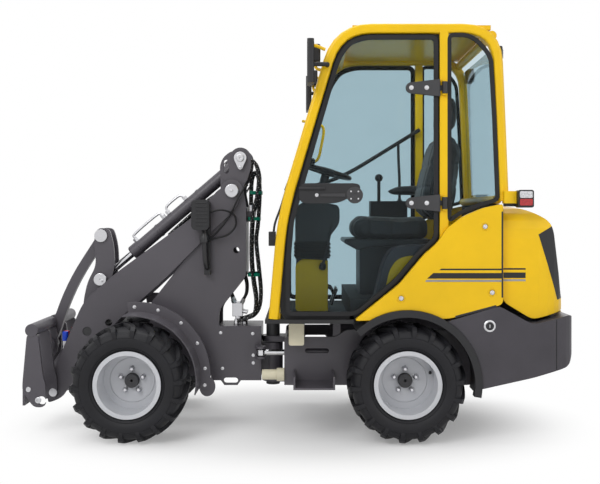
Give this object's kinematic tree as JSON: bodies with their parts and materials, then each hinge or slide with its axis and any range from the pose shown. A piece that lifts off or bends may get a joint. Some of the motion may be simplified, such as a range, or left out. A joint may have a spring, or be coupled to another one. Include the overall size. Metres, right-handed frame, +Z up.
{
  "type": "compact articulated wheel loader",
  "caption": "Compact articulated wheel loader with a glazed cab, a plate boom with tilt linkage, a tool carrier, a rear counterweight and an opening engine hood.",
  "frame": {"origin": "on the ground at the middle of the overall length and width", "axes": "+X forward towards the tool carrier, +Y to the machine's left, +Z up"},
  "size_m": [2.824, 1.22, 2.1153],
  "materials": {
    "yellow_paint": "gloss yellow enamel",
    "anthracite_paint": "satin dark grey enamel",
    "rim_silver": "satin silver paint",
    "tyre": "matt black rubber",
    "dark_steel": "dark cast iron",
    "bright_steel": "plated steel",
    "chrome_rod": "polished hard chrome",
    "tinted_glass": "tinted safety glass",
    "black_plastic": "matt black plastic",
    "black_rubber": "matt black rubber",
    "seat_cover": "black upholstery",
    "grey_plastic": "dark grey moulding",
    "cream_plastic": "cream plastic"
  },
  "bodies": {
    "rear_body": {"rear_frame": "anthracite_paint", "rear_axle": "dark_steel", "engine_block": "dark_steel", "counterweight": "anthracite_paint", "side_panels": "yellow_paint", "rear_fenders": "black_plastic", "cab_frame": "yellow_paint", "cab_floor": "anthracite_paint", "cab_glass": "tinted_glass", "seat_base": "grey_plastic", "seat_pad": "seat_cover", "console": "grey_plastic", "steering_wheel": "grey_plastic", "control_levers": "black_plastic", "cab_rails": "black_plastic", "mirrors": "black_plastic", "rear_lamps": "black_plastic", "cab_steps": "anthracite_paint", "washer_tank": "cream_plastic", "oil_filter": "cream_plastic", "pivot_pins": "dark_steel"},
    "door_body": {"door_glass": "tinted_glass", "door_seal": "black_rubber", "door_fittings": "black_plastic"},
    "hood_body": {"hood": "yellow_paint", "hood_grille": "black_plastic"},
    "front_body": {"front_frame": "anthracite_paint", "front_axle": "dark_steel", "mudguards": "anthracite_paint", "tower_lamps": "black_plastic", "tower_hoses": "black_rubber"},
    "boom_body": {"boom": "anthracite_paint", "couplers": "bright_steel"},
    "rocker_pin_body": {"rocker_pin": "dark_steel"},
    "rocker_body": {"rocker": "anthracite_paint"},
    "link_pin_body": {"link_pin": "bright_steel"},
    "link_body": {"link": "anthracite_paint"},
    "carrier_pin_body": {"carrier_pin": "bright_steel"},
    "carrier_body": {"carrier": "anthracite_paint"},
    "tilt_barrel_body": {"tilt_barrel": "anthracite_paint"},
    "tilt_rod_body": {"tilt_rod": "chrome_rod"},
    "lift_barrel_body": {"lift_barrels": "anthracite_paint"},
    "lift_rod_body": {"lift_rods": "chrome_rod"},
    "steer_barrel_body": {"steer_barrel": "anthracite_paint"},
    "steer_rod_body": {"steer_rod": "chrome_rod"},
    "wheel_front_left": {"tyre_front_left": "tyre", "rim_front_left": "rim_silver"},
    "wheel_front_right": {"tyre_front_right": "tyre", "rim_front_right": "rim_silver"},
    "wheel_rear_left": {"tyre_rear_left": "tyre", "rim_rear_left": "rim_silver"},
    "wheel_rear_right": {"tyre_rear_right": "tyre", "rim_rear_right": "rim_silver"}
  },
  "joints": [
    {"name": "articulation", "type": "hinge", "parent": "rear_body", "child": "front_body", "pos_m": [0.128, 0, 0.35], "axis": [0, 0, 1], "range_deg": [-40, 40]},
    {"name": "lift", "type": "hinge", "parent": "front_body", "child": "boom_body", "pos_m": [0.347, 0, 1.279], "axis": [0, -1, 0], "range_deg": [-2, 85]},
    {"name": "carrier_level", "type": "hinge", "parent": "boom_body", "child": "carrier_pin_body", "pos_m": [1.313, 0, 0.188], "axis": [0, -1, 0], "range_deg": [-79.11, 2.25]},
    {"name": "tilt", "type": "hinge", "parent": "carrier_pin_body", "child": "carrier_body", "pos_m": [1.313, 0, 0.188], "axis": [0, 1, 0], "range_deg": [-14, 50]},
    {"name": "rocker_level", "type": "hinge", "parent": "boom_body", "child": "rocker_pin_body", "pos_m": [1.13332, 0, 0.5153], "axis": [0, -1, 0], "range_deg": [-56.16, 1.71]},
    {"name": "rocker_tilt", "type": "hinge", "parent": "rocker_pin_body", "child": "rocker_body", "pos_m": [1.13332, 0, 0.5153], "axis": [0, -1, 0], "range_deg": [-39.4, 11.32]},
    {"name": "link_level", "type": "hinge", "parent": "rocker_body", "child": "link_pin_body", "pos_m": [1.07732, 0, 1.0333], "axis": [0, -1, 0], "range_deg": [-1.16, 32.87]},
    {"name": "link_tilt", "type": "hinge", "parent": "link_pin_body", "child": "link_body", "pos_m": [1.07732, 0, 1.0333], "axis": [0, -1, 0], "range_deg": [-6.84, 23.4]},
    {"name": "tilt_cylinder_swing", "type": "hinge", "parent": "front_body", "child": "tilt_barrel_body", "pos_m": [0.302, 0, 1.458], "axis": [0, -1, 0], "range_deg": [-2.46, 87.95]},
    {"name": "tilt_cylinder_stroke", "type": "slide", "parent": "tilt_barrel_body", "child": "tilt_rod_body", "axis": [0.7591, 0, -0.651], "range_m": [-0.043, 0.1511]},
    {"name": "lift_cylinder_swing", "type": "hinge", "parent": "front_body", "child": "lift_barrel_body", "pos_m": [0.458, 0, 0.47], "axis": [0, -1, 0], "range_deg": [-0.51, 4.95]},
    {"name": "lift_cylinder_stroke", "type": "slide", "parent": "lift_barrel_body", "child": "lift_rod_body", "axis": [0.2219, 0, 0.9751], "range_m": [-0.0117, 0.4563]},
    {"name": "steer_cylinder_swing", "type": "hinge", "parent": "rear_body", "child": "steer_barrel_body", "pos_m": [-0.342, 0.182, 0.411], "axis": [0, 0, 1], "range_deg": [-2.2, 2.2]},
    {"name": "steer_cylinder_stroke", "type": "slide", "parent": "steer_barrel_body", "child": "steer_rod_body", "axis": [0.9997, 0.0245, 0], "range_m": [-0.1281, 0.1281]},
    {"name": "door", "type": "hinge", "parent": "rear_body", "child": "door_body", "pos_m": [-0.75043, 0.488, 1.4975], "axis": [0, 0, 1], "range_deg": [0, 95]},
    {"name": "hood_tilt", "type": "hinge", "parent": "rear_body", "child": "hood_body", "pos_m": [-1.388, 0, 0.622], "axis": [0, -1, 0], "range_deg": [0, 70]},
    {"name": "wheel_front_left_spin", "type": "hinge", "parent": "front_body", "child": "wheel_front_left", "pos_m": [0.838, 0.4075, 0.3], "axis": [0, 1, 0], "continuous": true},
    {"name": "wheel_front_right_spin", "type": "hinge", "parent": "front_body", "child": "wheel_front_right", "pos_m": [0.838, -0.4075, 0.3], "axis": [0, 1, 0], "continuous": true},
    {"name": "wheel_rear_left_spin", "type": "hinge", "parent": "rear_body", "child": "wheel_rear_left", "pos_m": [-0.562, 0.4075, 0.3], "axis": [0, 1, 0], "continuous": true},
    {"name": "wheel_rear_right_spin", "type": "hinge", "parent": "rear_body", "child": "wheel_rear_right", "pos_m": [-0.562, -0.4075, 0.3], "axis": [0, 1, 0], "continuous": true}
  ],
  "couplings": [
    {"joint": "carrier_level", "follows": "lift", "ratio": -0.926},
    {"joint": "rocker_level", "follows": "lift", "ratio": -0.656},
    {"joint": "rocker_tilt", "follows": "tilt", "ratio": -0.78},
    {"joint": "link_level", "follows": "lift", "ratio": 0.382},
    {"joint": "link_tilt", "follows": "tilt", "ratio": 0.46},
    {"joint": "tilt_cylinder_swing", "follows": "lift", "ratio": 1.03},
    {"joint": "tilt_cylinder_stroke", "follows": "tilt", "m_per_rad": 0.172},
    {"joint": "lift_cylinder_swing", "follows": "lift", "ratio": 0.0535},
    {"joint": "lift_cylinder_stroke", "follows": "lift", "m_per_rad": 0.3069},
    {"joint": "steer_cylinder_swing", "follows": "articulation", "ratio": 0.045},
    {"joint": "steer_cylinder_stroke", "follows": "articulation", "m_per_rad": -0.182}
  ]
}
